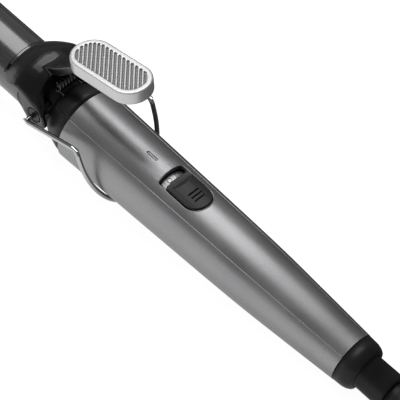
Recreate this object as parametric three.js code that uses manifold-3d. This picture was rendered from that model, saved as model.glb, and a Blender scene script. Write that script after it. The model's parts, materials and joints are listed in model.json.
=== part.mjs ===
// Curling iron with a sprung clip, a thumb lever, a wire stand and a swivelling lead.
// Millimetres. The iron is drawn along X, the cord end towards +X, the barrel towards -X, and
// X = 0 is the front edge of the silver handle. It is then tilted to rest on its stand.
import * as THREE from 'three';
import { mergeVertices } from 'three/addons/utils/BufferGeometryUtils.js';
import Module from 'manifold-3d';

const wasm = await Module();
wasm.setup();

const GAP = 0.3;                 // clearance between touching pieces
const RAD = Math.PI / 180;

// Barrel and clip
const BARREL_R = 12.5;
const BARREL_WALL = 1.1;
const BARREL_FRONT = -178;
const BARREL_REAR = -31.3;
const TIP_FRONT = -195;
const CLIP_INNER = 13.4;
const CLIP_OUTER = 14.85;
const CLIP_SPREAD = 57 * RAD;    // half angle that the clip covers
const CLIP_FRONT = -176;
const CLIP_REAR = -40;

// Hinge axis that the clip and the stand share
const HINGE_X = -15;
const HINGE_Z = 6.5;
const PIN_R = 2;
const BOSS_R = 3;
const BOSS_END = 14.2;
const EAR_FACE = 17.6;

// Handle
const HANDLE_END = 152.6;
const HANDLE_WALL = 2.2;
const PARTING = 40 * RAD;        // parting line, measured from the top
const COLLAR_FRONT = -11.7;

// Thumb pad
const PAD_LENGTH = 41;
const PAD_WIDTH = 18.5;
const PAD_THICK = 6.3;
const PAD_X = 10.9;
const PAD_TOP = 48.95;
const PAD_SLOPE = 12.5 * RAD;
const PAD_RIM = 2.3;
const RIB_PITCH = 1.75;

// Power switch and light
const SWITCH_FRONT = 48;
const SWITCH_REAR = 71;
const SWITCH_WIDTH = 14;
const SLIDER_FRONT = 52.1;
const LIGHT_X = 38.1;
const LIGHT_LENGTH = 6;
const LIGHT_WIDTH = 1.4;

// Stand
const WIRE_R = 1.05;
const STAND_SIDE = 22;
const BEND_X = 15.3;
const BEND_Y = 21.2;
const BEND_Z = 15;
const LOOP_DIP = 65.5 * RAD;
const LOOP_START = 4.5;            // where the sides start to curve in
const LOOP_Z = -18.7;

// Rear end and lead
const CAP_REAR = 161;
const SLEEVE_R = 7.75;
const SLEEVE_REAR = 173.9;
const CORD_D = 6;
const HANK_LENGTH = 120;
const HANK_WIDTH = 54;
const HANK_HEIGHT = 18;
const HANK_BASE = 1.3;           // the strap passes under the hank

// Finishes
const SILVER = { color: 0x8e8f91, roughness: 0.38, metalness: 0.75 };
const GLOSS_BLACK = { color: 0x0c0c0d, roughness: 0.12, metalness: 0 };
const SATIN_BLACK = { color: 0x151516, roughness: 0.4, metalness: 0 };
const COATED_BARREL = { color: 0x17171a, roughness: 0.22, metalness: 0.5 };
const DARK_COATING = { color: 0x1b1b1e, roughness: 0.16, metalness: 0.6 };
const CHROME = { color: 0xd9dadc, roughness: 0.08, metalness: 1 };
const STEEL = { color: 0xa9abad, roughness: 0.35, metalness: 1 };
const PAD_SILVER = { color: 0xc9cacc, roughness: 0.42, metalness: 0.5 };
const DARK_GREY = { color: 0x2a2b2d, roughness: 0.5, metalness: 0 };
const RUBBER = { color: 0x111112, roughness: 0.55, metalness: 0 };
const BOARD_GREEN = { color: 0x1d4a2c, roughness: 0.5, metalness: 0 };
const BRASS = { color: 0xb48a4a, roughness: 0.3, metalness: 1 };
const CERAMIC = { color: 0xe4e0d6, roughness: 0.6, metalness: 0 };
const ALUMINIUM = { color: 0xb9bcc0, roughness: 0.4, metalness: 1 };
const CLEAR_LENS = { color: 0x5b5c5e, roughness: 0.15, metalness: 0 };

// ---- Solids -------------------------------------------------------------------------------

// A solid from any closed geometry, whichever way its faces are wound.
function solid(geometry) {
  const bare = geometry.clone();
  bare.deleteAttribute('normal');
  bare.deleteAttribute('uv');
  const merged = mergeVertices(bare, 1e-4);
  const corners = merged.attributes.position;
  const at = (i) => new THREE.Vector3().fromBufferAttribute(corners, i);
  const faces = [];
  let volume = 0;
  for (let i = 0; i < merged.index.count; i += 3) {
    const [a, b, c] = [0, 1, 2].map((k) => merged.index.getX(i + k));
    if (a !== b && b !== c && c !== a) {
      faces.push([a, b, c]);
      volume += at(a).dot(at(b).cross(at(c)));
    }
  }
  const wound = volume < 0 ? faces.map(([a, b, c]) => [a, c, b]) : faces;
  return new wasm.Manifold(new wasm.Mesh({
    numProp: 3,
    vertProperties: new Float32Array(corners.array),
    triVerts: new Uint32Array(wound.flat()),
  }));
}

function piece(name, body, finish) {
  const { vertProperties, triVerts } = body.getMesh();
  const geometry = new THREE.BufferGeometry();
  geometry.setAttribute('position', new THREE.BufferAttribute(new Float32Array(vertProperties), 3));
  geometry.setIndex([...triVerts]);
  geometry.computeVertexNormals();
  const mesh = new THREE.Mesh(geometry, new THREE.MeshStandardMaterial(finish));
  mesh.name = name;
  return mesh;
}

const moved = (body, x, y, z) => body.translate([x, y, z]);
const joined = (...bodies) => bodies.reduce((whole, part) => whole.add(part));

// Turned about the X axis from an outline of [x, radius] points.
function turned(outline, sides = 48) {
  const points = outline.map(([x, r]) => new THREE.Vector2(r, x));
  return solid(new THREE.LatheGeometry(points, sides).rotateZ(-Math.PI / 2));
}

// A turned piece with a bore, its outline closed on itself.
const turnedRing = (outline, sides = 48) => turned([...outline, outline[0]], sides);

const tube = (x0, x1, outer, inner, sides = 48) =>
  turnedRing([[x0, inner], [x0, outer], [x1, outer], [x1, inner]], sides);

const disc = (x0, x1, r, sides = 32) => turned([[x0, 0], [x0, r], [x1, r], [x1, 0]], sides);

function block(x0, x1, y0, y1, z0, z1) {
  const box = new THREE.BoxGeometry(x1 - x0, y1 - y0, z1 - z0);
  return solid(box.translate((x0 + x1) / 2, (y0 + y1) / 2, (z0 + z1) / 2));
}

// A cylinder along Y between y0 and y1.
function crossRod(x, z, r, y0, y1, sides = 24) {
  const rod = new THREE.CylinderGeometry(r, r, y1 - y0, sides);
  return solid(rod.translate(x, (y0 + y1) / 2, z));
}

// A cylinder along Z between z0 and z1.
function post(x, y, r, z0, z1, sides = 20) {
  const rod = new THREE.CylinderGeometry(r, r, z1 - z0, sides).rotateX(Math.PI / 2);
  return solid(rod.translate(x, y, (z0 + z1) / 2));
}

// An outline in the X-Z plane, carried across from -half to +half in Y.
function sidePlate(shape, half, segments = 10) {
  const flat = new THREE.ExtrudeGeometry(shape, {
    depth: 2 * half, bevelEnabled: false, curveSegments: segments,
  });
  return solid(flat.rotateX(Math.PI / 2).translate(0, half, 0));
}

// An outline in the Y-Z plane, carried along X.
function crossSection(shape, x0, x1) {
  const turn = new THREE.Matrix4().set(0, 0, 1, x0, 1, 0, 0, 0, 0, 1, 0, 0, 0, 0, 0, 1);
  const flat = new THREE.ExtrudeGeometry(shape, { depth: x1 - x0, bevelEnabled: false });
  return solid(flat.applyMatrix4(turn));
}

// A slot shape with round ends, in the X-Y plane about its own centre.
function slotShape(length, width) {
  const r = width / 2;
  const reach = length / 2 - r;
  const shape = new THREE.Shape();
  shape.absarc(reach, 0, r, -Math.PI / 2, Math.PI / 2);
  shape.absarc(-reach, 0, r, Math.PI / 2, 1.5 * Math.PI);
  return shape;
}

function slotBlock(x0, x1, width, z0, z1, segments = 10) {
  const flat = new THREE.ExtrudeGeometry(slotShape(x1 - x0, width), {
    depth: z1 - z0, bevelEnabled: false, curveSegments: segments,
  });
  return solid(flat.translate((x0 + x1) / 2, 0, z0));
}

// A round bar of constant section along a smooth route.
function bar(points, r, steps, sides = 8) {
  const path = new THREE.CatmullRomCurve3(points, false, 'centripetal');
  const section = new THREE.Shape(Array.from({ length: sides }, (_, i) => {
    const a = (2 * Math.PI * i) / sides;
    return new THREE.Vector2(r * Math.cos(a), r * Math.sin(a));
  }));
  return solid(new THREE.ExtrudeGeometry(section, { steps, extrudePath: path, bevelEnabled: false }));
}

const spot = (x, y, z) => new THREE.Vector3(x, y, z);

// ---- Handle outline -----------------------------------------------------------------------

const handleLine = new THREE.SplineCurve(
  [[0, 17.3], [50, 16.05], [98, 14.6], [125, 13.1], [HANDLE_END, 11.3]]
    .map(([x, r]) => new THREE.Vector2(x, r)),
).getPoints(14);

function handleRadius(x) {
  const next = Math.max(1, handleLine.findIndex((p) => p.x >= x - 1e-6));
  const [a, b] = [handleLine[next - 1], handleLine[next]];
  return a.y + ((b.y - a.y) * (x - a.x)) / (b.x - a.x);
}

// The handle wall between two depths below its outer surface.
function handleSkin(x0, x1, outside, inside) {
  const stations = [x0, ...handleLine.map((p) => p.x).filter((x) => x > x0 + 1 && x < x1 - 1), x1];
  const outer = stations.map((x) => [x, handleRadius(x) - outside]);
  const inner = stations.map((x) => [x, handleRadius(x) - inside]).reverse();
  return turnedRing([...outer, ...inner]);
}

// The wedge above both parting lines; drop moves its edge down along Z.
function upperWedge(x0, x1, drop) {
  const reach = 60;
  const shape = new THREE.Shape([
    new THREE.Vector2(0, -drop),
    new THREE.Vector2(reach * Math.sin(PARTING), reach * Math.cos(PARTING) - drop),
    new THREE.Vector2(-reach * Math.sin(PARTING), reach * Math.cos(PARTING) - drop),
  ]);
  return crossSection(shape, x0, x1);
}

const upperHalf = (body) => body.intersect(upperWedge(-40, 190, -0.2));
const lowerHalf = (body) => body.subtract(upperWedge(-40, 190, 0.2));

// ---- Barrel -------------------------------------------------------------------------------

function barrelPieces() {
  const inner = BARREL_R - BARREL_WALL;
  const tip = turned([
    [BARREL_FRONT + 12, 0], [BARREL_FRONT + 12, inner - GAP], [BARREL_FRONT - GAP, inner - GAP],
    [BARREL_FRONT - GAP, BARREL_R], [TIP_FRONT + 4, BARREL_R], [TIP_FRONT + 1.5, BARREL_R - 0.8],
    [TIP_FRONT + 0.4, BARREL_R - 2], [TIP_FRONT, BARREL_R - 3.5], [TIP_FRONT, 0],
  ]);
  return [
    piece('barrel_tube', tube(BARREL_FRONT, BARREL_REAR, BARREL_R, inner), COATED_BARREL),
    piece('barrel_tip', tip, SATIN_BLACK),
    piece('heater_element', block(-150, -60, -4, 4, -1.2, 1.2), CERAMIC),
    ...['upper', 'lower'].map((side, i) => {
      const sign = i ? -1 : 1;
      const rod = disc(-148, -62, 10, 24);
      const half = rod.intersect(block(-150, -60, -12, 12, Math.min(sign * 1.5, sign * 12),
        Math.max(sign * 1.5, sign * 12)));
      return piece(`heater_clamp_${side}`, half, ALUMINIUM);
    }),
    ...['live', 'neutral'].map((side, i) => {
      const y = i ? -2.2 : 2.2;
      const route = [spot(-59.6, y, 0), spot(-40, y, 0), spot(10, y, 0.4), spot(29.6, y, 1.4)];
      return piece(`heater_lead_${side}`, bar(route, 0.9, 8, 6), CERAMIC);
    }),
  ];
}

function barrelNeck() {
  const plug = BARREL_R - BARREL_WALL - GAP;
  const body = turnedRing([
    [-45, 4], [-45, plug], [-31, plug], [-31, 12.6], [-28.4, 13.2], [-25.5, 14.2], [-22, 14.3],
    [-19.5, 13.5], [-17.5, 12.4], [COLLAR_FRONT - GAP, 12.3], [COLLAR_FRONT - GAP, 11], [12, 11],
    [12, 4],
  ]);
  const bosses = [1, -1].map((side) => crossRod(HINGE_X, HINGE_Z, BOSS_R,
    Math.min(side * 9, side * BOSS_END), Math.max(side * 9, side * BOSS_END)));
  const bores = [1, -1].map((side) => crossRod(HINGE_X, HINGE_Z, PIN_R + GAP,
    Math.min(side * 8, side * 20), Math.max(side * 8, side * 20)));
  return piece('barrel_neck', joined(body, ...bosses).subtract(joined(...bores)), SATIN_BLACK);
}

// ---- Clip and lever -----------------------------------------------------------------------

function arcBand(spread, inner, outer, x0, x1) {
  const shape = new THREE.Shape();
  shape.absarc(0, 0, outer, Math.PI / 2 - spread, Math.PI / 2 + spread);
  shape.absarc(0, 0, inner, Math.PI / 2 + spread, Math.PI / 2 - spread, true);
  return crossSection(shape, x0, x1);
}

function clip() {
  const span = CLIP_OUTER * Math.sin(CLIP_SPREAD) * 2 + 1;
  const roundedFront = slotBlock(CLIP_FRONT, 20, span, 0, 20, 12);
  const blade = arcBand(CLIP_SPREAD, CLIP_INNER, CLIP_OUTER, CLIP_FRONT, CLIP_REAR);
  const tongue = arcBand(38 * RAD, CLIP_INNER, CLIP_OUTER - 0.25, CLIP_REAR - 4, -29);
  return piece('clip', joined(blade.intersect(roundedFront), tongue), DARK_COATING);
}

// Outline of the hood seen from the side: a cowl over the clip, with two hinge ears below it.
function hoodSide() {
  const shape = new THREE.Shape();
  shape.moveTo(-42, 8.6);
  shape.lineTo(-36.5, 8.8);
  shape.quadraticCurveTo(-32, 11, -28, 13.6);
  shape.quadraticCurveTo(-25.8, 14, -24.6, 11.4);
  shape.lineTo(-21.9, 4.8);
  shape.absarc(HINGE_X, HINGE_Z, 7.2, 205 * RAD, 342 * RAD);
  shape.quadraticCurveTo(-9.4, 9.8, -12.5, 12.1);
  shape.quadraticCurveTo(-15.6, 14.4, -17, 18.4);
  shape.quadraticCurveTo(-17.9, 21, -17.4, 30);
  shape.lineTo(-42, 30);
  return shape;
}

function leverSide() {
  const shape = new THREE.Shape();
  shape.moveTo(-28, 21);
  shape.quadraticCurveTo(-20, 22.8, -14.5, 28.4);
  shape.lineTo(-6.5, 36.6);
  shape.quadraticCurveTo(-4, 38.8, -1, 39.45);
  shape.lineTo(17, 43.45);
  shape.quadraticCurveTo(19.4, 43, 17.6, 41.7);
  shape.lineTo(2, 37.7);
  shape.quadraticCurveTo(-2, 36.4, -4.5, 33.4);
  shape.lineTo(-11.5, 25.6);
  shape.quadraticCurveTo(-16, 20.8, -22, 20.5);
  return shape;
}

function clipHood() {
  const outer = turned([
    [-38.3, 0], [-38.3, 15.6], [-38, 16.3], [-36.6, 17.6], [-34, 19.5], [-31, 21.3], [-28, 22.8],
    [-25, 23.5], [-21.5, 23.1], [-17.5, 21.9], [-13, 20.6], [-4, 19.4], [-4, 0],
  ]);
  const inner = turned([
    [-41, 0], [-41, 14.95], [-31, 14.95], [-29.4, 18.4], [-26.5, 20.2], [-22, 19.8], [-17.5, 18.8],
    [-13, 17.9], [-2, 17.2], [-2, 0],
  ]);
  const cheeks = block(-50, 50, -EAR_FACE, EAR_FACE, -40, 40);
  const hollow = inner.intersect(block(-50, 50, 2.1 - EAR_FACE, EAR_FACE - 2.1, -40, 40));
  const bell = outer.intersect(sidePlate(hoodSide(), 40)).intersect(cheeks);
  const bossRoom = crossRod(HINGE_X, HINGE_Z, BOSS_R + 0.7, -BOSS_END - GAP, BOSS_END + GAP);
  const pinHoles = crossRod(HINGE_X, HINGE_Z, PIN_R + GAP, -30, 30);
  const sink = EAR_FACE - 1.3;
  const recesses = [[sink, 30], [-30, -sink]].map(([a, b]) => crossRod(HINGE_X, HINGE_Z, 3.75, a, b));
  const arm = sidePlate(leverSide(), 5.5);
  return piece('clip_hood', joined(bell, arm)
    .subtract(joined(hollow, bossRoom, pinHoles, ...recesses)), GLOSS_BLACK);
}

function padOnLever(body) {
  return moved(body.rotate([0, -PAD_SLOPE / RAD, 0]), PAD_X, 0, PAD_TOP);
}

function thumbPad() {
  const chamfer = 0.7;
  const outline = new THREE.ExtrudeGeometry(slotShape(PAD_LENGTH - 2 * chamfer, PAD_WIDTH - 2 * chamfer), {
    depth: PAD_THICK - 2 * chamfer, bevelEnabled: true, bevelThickness: chamfer, bevelSize: chamfer,
    bevelSegments: 2, curveSegments: 14,
  });
  const tablet = solid(outline.translate(0, 0, chamfer - PAD_THICK));
  const [length, width] = [PAD_LENGTH - 2 * PAD_RIM, PAD_WIDTH - 2 * PAD_RIM];
  const well = slotBlock(-length / 2, length / 2, width, -0.9, 2, 14);
  const ribRoom = slotBlock(-length / 2 - 0.3, length / 2 + 0.3, width + 0.6, -1.2, -0.15, 14);
  const ribs = [];
  for (let x = -26.25; x < 27; x += RIB_PITCH * Math.SQRT2) {
    const rib = block(-20, 20, -0.42, 0.42, -1.2, -0.15).rotate([0, 0, -45]);
    ribs.push(moved(rib, x, 0, 0));
  }
  const ribbed = joined(...ribs).intersect(ribRoom);
  return piece('thumb_pad', padOnLever(tablet.subtract(well).add(ribbed)), PAD_SILVER);
}

function hingePins() {
  return [['right', 1], ['left', -1]].map(([name, side]) => {
    const span = (a, b) => [Math.min(side * a, side * b), Math.max(side * a, side * b)];
    const shank = crossRod(HINGE_X, HINGE_Z, PIN_R, ...span(8.4, EAR_FACE - 0.6));
    const head = crossRod(HINGE_X, HINGE_Z, 3.3, ...span(EAR_FACE - 1, EAR_FACE - 0.3));
    const bore = crossRod(HINGE_X, HINGE_Z, WIRE_R + GAP, ...span(5, 25));
    return piece(`hinge_pin_${name}`, shank.add(head).subtract(bore), STEEL);
  });
}

// A coiled torsion spring across the iron, one leg on the neck and one under the lever.
function clipSpring() {
  const [radius, wire, turns, pitch, centreZ] = [1.8, 0.5, 6, 1.6, 15.2];
  const coil = [];
  for (let i = 0; i <= turns * 10; i += 1) {
    const a = (2 * Math.PI * i) / 10 - Math.PI / 2;
    const y = ((i / 10) - turns / 2) * pitch;
    coil.push(spot(HINGE_X + 0.3 + radius * Math.cos(a), y, centreZ + radius * Math.sin(a)));
  }
  const lead = [spot(-10, coil[0].y, 13.9), spot(-12.6, coil[0].y, 14.1)];
  const tail = [spot(-12.4, -coil[0].y, 14.3), spot(-9.5, -coil[0].y, 14.9)];
  return piece('clip_spring', bar([...lead, ...coil, ...tail], wire, 110, 6), CHROME);
}

// ---- Stand --------------------------------------------------------------------------------

function stand() {
  const corner = 1.6;
  const half = [];
  half.push(spot(HINGE_X, 13.2, HINGE_Z), spot(HINGE_X, STAND_SIDE - corner, HINGE_Z));
  half.push(spot(HINGE_X + 0.45, STAND_SIDE - 0.45, HINGE_Z + 0.1));
  half.push(spot(HINGE_X + corner, STAND_SIDE, HINGE_Z + 0.4));
  half.push(spot(BEND_X - 2.4, BEND_Y, BEND_Z - 0.3), spot(BEND_X - 0.6, BEND_Y, BEND_Z - 0.5));
  const drop = (BEND_Z - LOOP_Z) / Math.sin(LOOP_DIP);
  const alongLoop = (l, y) => spot(BEND_X + l * Math.cos(LOOP_DIP), y, BEND_Z - l * Math.sin(LOOP_DIP));
  half.push(alongLoop(2.2, BEND_Y), alongLoop(LOOP_START, BEND_Y));
  for (let i = 1; i <= 9; i += 1) {
    const a = (i / 9) * (Math.PI / 2);
    half.push(alongLoop(LOOP_START + (drop - LOOP_START) * Math.sin(a), BEND_Y * Math.cos(a)));
  }
  const mirrored = half.slice(0, -1).reverse().map((p) => spot(p.x, -p.y, p.z));
  return piece('stand', bar([...half, ...mirrored], WIRE_R, 96, 8), CHROME);
}

// ---- Handle -------------------------------------------------------------------------------

function collarPieces() {
  const ring = turnedRing([
    [COLLAR_FRONT, 11.3], [COLLAR_FRONT, 12.5], [-11.2, 13.2], [-10, 14], [-7.5, 15], [-4, 16.1],
    [-GAP, 16.8], [-GAP, 14.7], [9, 14.5], [9, 11.3],
  ]);
  return [
    piece('front_collar_upper', upperHalf(ring), SATIN_BLACK),
    piece('front_collar_lower', lowerHalf(ring), SATIN_BLACK),
  ];
}

const SCREWS_X = [22, 128];

function upperShell() {
  const opening = switchBlock(SWITCH_FRONT, SWITCH_REAR, SWITCH_WIDTH, 5, 30);
  const lightSlot = slotBlock(LIGHT_X - LIGHT_LENGTH / 2, LIGHT_X + LIGHT_LENGTH / 2, LIGHT_WIDTH, 5, 30, 4);
  const posts = SCREWS_X.map((x) => {
    const roof = handleRadius(x) - 1;
    return post(x, 0, 2.6, 3.2, roof).subtract(post(x, 0, 1.4, 0, roof - 4));
  });
  const skin = upperHalf(handleSkin(0, HANDLE_END, 0, HANDLE_WALL));
  return piece('handle_upper_shell', joined(skin, ...posts).subtract(joined(opening, lightSlot)), SILVER);
}

function lowerShell() {
  const skin = lowerHalf(handleSkin(0, HANDLE_END, 0, HANDLE_WALL));
  const posts = SCREWS_X.map((x) => post(x, 0, 4.4, 1 - handleRadius(x), -3));
  const holes = SCREWS_X.map((x) => joined(
    post(x, 0, 3.1, -30, 3 - handleRadius(x)),
    post(x, 0, 1.7, -30, 0),
  ));
  return piece('handle_lower_shell', joined(skin, ...posts).subtract(joined(...holes)), SILVER);
}

function shellScrews() {
  return SCREWS_X.map((x, i) => {
    const seat = 3 - handleRadius(x) - GAP;
    const head = post(x, 0, 2.8, seat - 1.7, seat);
    const slot = block(x - 1.8, x + 1.8, -0.35, 0.35, seat - 2, seat - 1);
    const shank = post(x, 0, 1.1, seat - 1, handleRadius(x) - 6);
    return piece(`shell_screw_${i ? 'rear' : 'front'}`, head.subtract(slot).add(shank), STEEL);
  });
}

// ---- Switch and light ---------------------------------------------------------------------

// The switch opening seen from above: almost straight in front, a half circle at the rear.
function switchShape(front, rear, width) {
  const half = width / 2;
  const shape = new THREE.Shape();
  shape.moveTo(front + 1.8, -half);
  shape.lineTo(rear - half, -half);
  shape.absarc(rear - half, 0, half, -Math.PI / 2, Math.PI / 2);
  shape.lineTo(front + 1.8, half);
  shape.quadraticCurveTo(front + 0.7, half, front + 0.5, half - 1);
  shape.quadraticCurveTo(front - 0.5, 0, front + 0.5, 1 - half);
  shape.quadraticCurveTo(front + 0.7, -half, front + 1.8, -half);
  return shape;
}

function switchBlock(front, rear, width, z0, z1) {
  const flat = new THREE.ExtrudeGeometry(switchShape(front, rear, width), {
    depth: z1 - z0, bevelEnabled: false, curveSegments: 10,
  });
  return solid(flat.translate(0, 0, z0));
}

function switchPieces() {
  const well = switchBlock(SWITCH_FRONT + GAP, SWITCH_REAR - GAP, SWITCH_WIDTH - 2 * GAP, 5, 30);
  const plate = handleSkin(SWITCH_FRONT, SWITCH_REAR, 2.9, 3.6)
    .intersect(well).intersect(block(SWITCH_FRONT, 58.5, -10, 10, 5, 30));
  return [
    piece('switch_label_plate', plate, PAD_SILVER),
    piece('switch_slider', slider(), DARK_GREY),
    piece('switch_body', block(55, 73, -4, 4, 3, 9.4), SATIN_BLACK),
  ];
}

// The slider has a low front apron and a raised grip with three short grooves.
function slider() {
  const rear = SWITCH_REAR - 0.45;
  const outline = switchBlock(SLIDER_FRONT, rear, SWITCH_WIDTH - 0.9, 5, 30);
  const cap = handleSkin(SLIDER_FRONT - 5, rear + 5, -0.9, 2.6).intersect(outline);
  const top = handleRadius(60) + 0.9;
  const apron = crossRod(SLIDER_FRONT + 0.5, top + 6.2, 7.6, -10, 10, 40);
  const grooves = [0, 1, 2].map((i) => block(62 + 1.9 * i, 62.5 + 1.9 * i, -2.9, 2.9, top - 0.9, 30));
  const stem = block(64, 66.4, -1.5, 1.5, 9.7, handleRadius(65) - 2);
  return joined(cap.subtract(joined(apron, ...grooves)), stem);
}

function lightPieces() {
  const half = LIGHT_LENGTH / 2 - GAP;
  const top = handleRadius(LIGHT_X) - 0.1;
  const lens = slotBlock(LIGHT_X - half, LIGHT_X + half, LIGHT_WIDTH - 2 * GAP, 8.4, top, 4);
  return [
    piece('light_guide', lens.add(slotBlock(LIGHT_X - 4, LIGHT_X + 4, 3, 8.4, 10.4, 4)), CLEAR_LENS),
    piece('indicator_lamp', post(LIGHT_X, 0, 1.5, 2.8, 8, 12), CLEAR_LENS),
  ];
}

function electronics() {
  const board = block(30, 104, -8.5, 8.5, 0.9, 2.5).subtract(block(45, 54, 4, 10, 0, 4));
  const leads = ['live', 'neutral'].map((name, i) => {
    const y = i ? -4 : 4;
    const route = [spot(104.4, y, 1.7), spot(118, y, 1), spot(138.5, y, 0)];
    return piece(`mains_lead_${name}`, bar(route, 0.9, 6, 6), CERAMIC);
  });
  return [
    piece('circuit_board', board, BOARD_GREEN),
    piece('thermal_fuse', disc(80, 90, 1.8, 12).translate([0, 4, 4.7]), CERAMIC),
    piece('smoothing_capacitor', block(92, 101, -6, 1, 2.8, 8.6), DARK_GREY),
    ...leads,
  ];
}

// ---- Rear end and lead --------------------------------------------------------------------

function rearPieces() {
  const bore = SLEEVE_R + 0.2;
  const cap = turnedRing([
    [144.4, bore], [144.4, 8.75], [HANDLE_END + GAP, 8.75], [HANDLE_END + GAP, 11.2], [157.4, 10.95],
    [159.3, 10.4], [160.6, 9.6], [CAP_REAR, 8.8], [CAP_REAR, 8.3], [CAP_REAR - 0.4, bore],
  ]);
  const sleeve = turnedRing([
    [141.5, 4.9], [141.5, 9], [144, 9], [144, SLEEVE_R - 0.2], [SLEEVE_REAR - 1.2, SLEEVE_R],
    [SLEEVE_REAR - 0.4, SLEEVE_R - 0.4], [SLEEVE_REAR, SLEEVE_R - 1.2], [SLEEVE_REAR, 5.9],
    [SLEEVE_REAR - 1, 5.6], [SLEEVE_REAR - 1, 4.9],
  ]);
  return [
    piece('rear_cap', cap, SATIN_BLACK),
    piece('swivel_retainer', tube(138.9, 141.2, 9.2, 1.5, 32), BRASS),
    piece('swivel_sleeve', sleeve, SATIN_BLACK),
  ];
}

// ---- Resting pose -------------------------------------------------------------------------

// The tilt at which the stand's loop and the rear of the handle touch one level surface.
function restTilt() {
  const loop = [BEND_X + (BEND_Z - LOOP_Z) / Math.tan(LOOP_DIP), LOOP_Z - WIRE_R];
  const rear = [...handleLine.map((p) => [p.x, -p.y]), [157.4, -10.95], [159.3, -10.4]];
  const height = ([x, z], tilt) => z * Math.cos(tilt) - x * Math.sin(tilt);
  let [low, high] = [0, 0.3];
  for (let i = 0; i < 40; i += 1) {
    const middle = (low + high) / 2;
    const lowestRear = Math.min(...rear.map((p) => height(p, middle)));
    [low, high] = lowestRear > height(loop, middle) ? [middle, high] : [low, middle];
  }
  return low;
}

function restingIron() {
  const iron = new THREE.Group();
  iron.add(
    ...barrelPieces(), barrelNeck(), clip(), clipHood(), thumbPad(), ...hingePins(), clipSpring(),
    stand(), ...collarPieces(), upperShell(), lowerShell(), ...shellScrews(), ...switchPieces(),
    ...lightPieces(), ...electronics(), ...rearPieces(),
  );
  iron.rotation.y = restTilt();
  const box = new THREE.Box3().setFromObject(iron, true);
  iron.position.set(-(box.min.x + box.max.x) / 2, 0, -box.min.z);
  iron.updateMatrixWorld(true);
  return iron;
}

// ---- Lead, on the surface that the iron rests on ------------------------------------------

// A bar whose radius changes along its route, one round section at each point.
function taperedBar(points, radii, sides = 20) {
  const path = new THREE.CatmullRomCurve3(points, false, 'centripetal');
  const last = points.length - 1;
  const corners = [];
  points.forEach((p, i) => {
    const along = path.getTangent(i / last);
    const right = new THREE.Vector3().crossVectors(along, spot(0, 0, 1)).normalize();
    const up = new THREE.Vector3().crossVectors(right, along);
    for (let k = 0; k < sides; k += 1) {
      const a = (2 * Math.PI * k) / sides;
      corners.push(p.clone().addScaledVector(right, radii[i] * Math.cos(a))
        .addScaledVector(up, radii[i] * Math.sin(a)));
    }
  });
  const faces = [];
  for (let i = 0; i < last; i += 1) {
    for (let k = 0; k < sides; k += 1) {
      const [a, b] = [i * sides + k, i * sides + ((k + 1) % sides)];
      faces.push(a, b, b + sides, a, b + sides, a + sides);
    }
  }
  for (let k = 1; k < sides - 1; k += 1) {
    const end = last * sides;
    faces.push(0, k + 1, k, end, end + k, end + k + 1);
  }
  return solid(new THREE.BufferGeometry().setFromPoints(corners).setIndex(faces));
}

// The relief grows out of the sleeve and bends down towards the surface and to one side.
function strainRelief(exit) {
  const steps = [
    [-12, 0, 0.9, 4.5], [-0.7, 0, 0.05, 4.5], [-0.5, 0, 0.04, 5.1], [0.4, 0, -0.03, 5.4],
    [2.5, -0.1, -0.3, 6.2], [6, -0.6, -0.6, 6.1], [12, -2, -1.2, 5.5], [19, -4.8, -2.1, 5],
    [26, -8.5, -3.2, 4.6], [33, -12.9, -4.2, 4.2], [39, -16.9, -5, 3.9],
  ];
  const points = steps.map(([x, y, z]) => spot(exit.x + x, y, exit.z + z));
  return piece('strain_relief', taperedBar(points, steps.map((s) => s[3])), RUBBER);
}

function hankOutline(length, width, grow) {
  const shape = slotShape(length + 2 * grow, width + 2 * grow);
  shape.holes.push(slotShape(length - 4 * CORD_D - 2 * grow, width - 4 * CORD_D - 2 * grow));
  return shape;
}

function hankSolid(centreX, grow) {
  const flat = new THREE.ExtrudeGeometry(hankOutline(HANK_LENGTH, HANK_WIDTH, grow), {
    depth: HANK_HEIGHT + 2 * grow, bevelEnabled: false, curveSegments: 14,
  });
  return solid(flat.translate(centreX, 0, HANK_BASE - grow));
}

function leadPieces(exit) {
  const hankX = exit.x + 132;
  const top = HANK_BASE + HANK_HEIGHT;
  const leadRoute = [
    [39.4, -17.2, -5], [44, -19.9, -5.6], [50, -22.3, -6.2], [58, -23.8, -6.5], [67, -24, -6.3],
    [76, -24, -5.6], [92, -24, -5.3],
  ].map(([x, y, z]) => spot(exit.x + x, y, exit.z + z));
  const lead = bar(leadRoute, CORD_D / 2, 8, 10).subtract(hankSolid(hankX, GAP));
  const tailRoute = [
    [-14, 18, 3.4], [-24, 18, 3.4], [-33, 18, 3.4], [-42, 15.6, 3.4], [-48.6, 9, 3.4], [-51, 0, 3.4],
    [-48.9, -8.4, 3.4], [-44.6, -13.9, 3.4], [-38.6, -17, 3.4], [-31, -17.6, 3.5], [-22, -15.6, 3.8],
    [-12, -10.6, 4.6], [-3, -5, 5.4], [5, -1.4, 6.2], [11, -0.2, 6.8], [15.7, 0, 7],
  ].map(([x, y, z]) => spot(hankX + x, y, top + z));
  const strap = block(hankX - 6, hankX + 6, -28.3, 28.3, 0, top + 1.3)
    .subtract(block(hankX - 7, hankX + 7, -27.3, 27.3, 1, top + 0.3));
  return [
    piece('power_cord', lead, RUBBER),
    piece('cord_hank', hankSolid(hankX, 0), RUBBER),
    piece('cord_tail', bar(tailRoute, CORD_D / 2, 18, 10), RUBBER),
    piece('hank_strap', strap, DARK_GREY),
    ...plug(hankX + 16, top + 7),
  ];
}

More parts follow.
